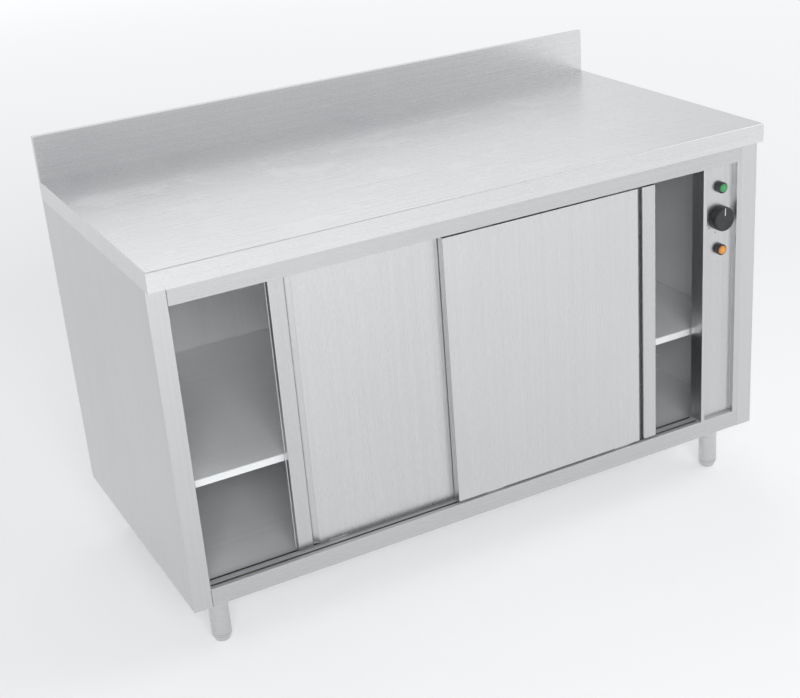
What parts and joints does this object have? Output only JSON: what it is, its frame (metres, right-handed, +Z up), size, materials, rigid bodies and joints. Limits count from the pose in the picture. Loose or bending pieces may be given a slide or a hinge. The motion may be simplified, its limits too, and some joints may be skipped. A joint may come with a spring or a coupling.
{
  "type": "plate warmer cabinet",
  "caption": "Free-standing heated cabinet of folded stainless sheet with a worktop and upstand, sliding doors, a middle shelf, a control column and levelling legs.",
  "frame": {"origin": "on the floor under the middle of the worktop", "axes": "+X along the length to the user's right, +Y from the doors to the back, +Z up"},
  "size_m": [1.4, 0.7, 0.95],
  "materials": {
    "worktop_steel": "satin",
    "body_steel": "satin",
    "door_steel": "satin",
    "liner_steel": "satin",
    "galvanised_steel": "dull",
    "element_sheath": "dull",
    "board": "raw",
    "mineral_wool": "raw",
    "nylon": "matte",
    "stop_rubber": "matte",
    "knob_plastic": "satin",
    "switch_plastic": "gloss",
    "green_plastic": "gloss",
    "amber_plastic": "gloss",
    "control_casting": "dull",
    "bright_brass": "satin",
    "copper_tube": "satin",
    "terminal_plastic": "matte",
    "gland_plastic": "matte",
    "fixing_steel": "bright",
    "foot_steel": "satin"
  },
  "bodies": {
    "cabinet": {"worktop": "worktop_steel", "worktop_core": "board", "worktop_stiffeners": "galvanised_steel", "side_panel_left": "body_steel", "side_panel_right": "body_steel", "side_liner_left": "liner_steel", "side_liner_right": "liner_steel", "insulation_left": "mineral_wool", "insulation_right": "mineral_wool", "back_panel": "galvanised_steel", "back_liner": "liner_steel", "insulation_back": "mineral_wool", "base_panel": "galvanised_steel", "insulation_base": "mineral_wool", "ceiling_liner": "liner_steel", "insulation_ceiling": "mineral_wool", "bottom_rail": "body_steel", "top_rail": "body_steel", "floor_pan": "liner_steel", "shelf": "liner_steel", "shelf_brackets": "liner_steel", "heating_element": "element_sheath", "element_clips": "galvanised_steel", "door_track": "galvanised_steel", "door_stops": "stop_rubber", "control_panel": "body_steel", "control_box": "galvanised_steel", "thermostat": "control_casting", "thermostat_probe": "copper_tube", "button_housing": "switch_plastic", "pilot_lamp": "switch_plastic", "lamp_lens": "amber_plastic", "terminal_block": "terminal_plastic", "leg_tubes": "foot_steel", "leg_bolts": "fixing_steel", "cable_gland": "gland_plastic", "earth_stud": "bright_brass"},
    "front_door": {"front_door_skin": "door_steel", "front_door_handle": "door_steel", "front_door_liner": "liner_steel", "front_door_insulation": "mineral_wool", "front_door_hangers": "fixing_steel", "front_door_guides": "nylon"},
    "front_door_roller_left": {"front_door_roller_left": "nylon"},
    "front_door_roller_right": {"front_door_roller_right": "nylon"},
    "rear_door": {"rear_door_skin": "door_steel", "rear_door_handle": "door_steel", "rear_door_liner": "liner_steel", "rear_door_insulation": "mineral_wool", "rear_door_hangers": "fixing_steel", "rear_door_guides": "nylon"},
    "rear_door_roller_left": {"rear_door_roller_left": "nylon"},
    "rear_door_roller_right": {"rear_door_roller_right": "nylon"},
    "knob": {"knob": "knob_plastic", "thermostat_shaft": "bright_brass"},
    "power_button": {"power_button": "green_plastic"},
    "foot_front_left": {"foot_front_left": "foot_steel"},
    "foot_back_left": {"foot_back_left": "foot_steel"},
    "foot_front_right": {"foot_front_right": "foot_steel"},
    "foot_back_right": {"foot_back_right": "foot_steel"}
  },
  "joints": [
    {"name": "front_door_slide", "type": "slide", "parent": "cabinet", "child": "front_door", "axis": [1, 0, 0], "range_m": [-0.569, 0.125]},
    {"name": "front_door_roller_left_turn", "type": "hinge", "parent": "front_door", "child": "front_door_roller_left", "pos_m": [0.002, -0.3207, 0.7885], "axis": [0, 1, 0], "range_deg": [-2720, 600]},
    {"name": "front_door_roller_right_turn", "type": "hinge", "parent": "front_door", "child": "front_door_roller_right", "pos_m": [0.337, -0.3207, 0.7885], "axis": [0, 1, 0], "range_deg": [-2720, 600]},
    {"name": "rear_door_slide", "type": "slide", "parent": "cabinet", "child": "rear_door", "axis": [1, 0, 0], "range_m": [-0.202, 0.29]},
    {"name": "rear_door_roller_left_turn", "type": "hinge", "parent": "rear_door", "child": "rear_door_roller_left", "pos_m": [-0.365, -0.2992, 0.7885], "axis": [0, 1, 0], "range_deg": [-970, 1390]},
    {"name": "rear_door_roller_right_turn", "type": "hinge", "parent": "rear_door", "child": "rear_door_roller_right", "pos_m": [0.172, -0.2992, 0.7885], "axis": [0, 1, 0], "range_deg": [-970, 1390]},
    {"name": "knob_turn", "type": "hinge", "parent": "cabinet", "child": "knob", "pos_m": [0.6085, -0.325, 0.649], "axis": [0, 1, 0], "range_deg": [0, 270]},
    {"name": "button_press", "type": "slide", "parent": "cabinet", "child": "power_button", "axis": [0, 1, 0], "range_m": [0, 0.003], "stiffness_N_per_m": 400, "springref_m": -0.002},
    {"name": "foot_front_left_height", "type": "slide", "parent": "cabinet", "child": "foot_front_left", "axis": [0, 0, -1], "range_m": [0, 0.03]},
    {"name": "foot_back_left_height", "type": "slide", "parent": "cabinet", "child": "foot_back_left", "axis": [0, 0, -1], "range_m": [0, 0.03]},
    {"name": "foot_front_right_height", "type": "slide", "parent": "cabinet", "child": "foot_front_right", "axis": [0, 0, -1], "range_m": [0, 0.03]},
    {"name": "foot_back_right_height", "type": "slide", "parent": "cabinet", "child": "foot_back_right", "axis": [0, 0, -1], "range_m": [0, 0.03]}
  ],
  "couplings": [
    {"joint": "front_door_roller_left_turn", "follows": "front_door_slide", "rad_per_m": 83.333},
    {"joint": "front_door_roller_right_turn", "follows": "front_door_slide", "rad_per_m": 83.333},
    {"joint": "rear_door_roller_left_turn", "follows": "rear_door_slide", "rad_per_m": 83.333},
    {"joint": "rear_door_roller_right_turn", "follows": "rear_door_slide", "rad_per_m": 83.333}
  ]
}
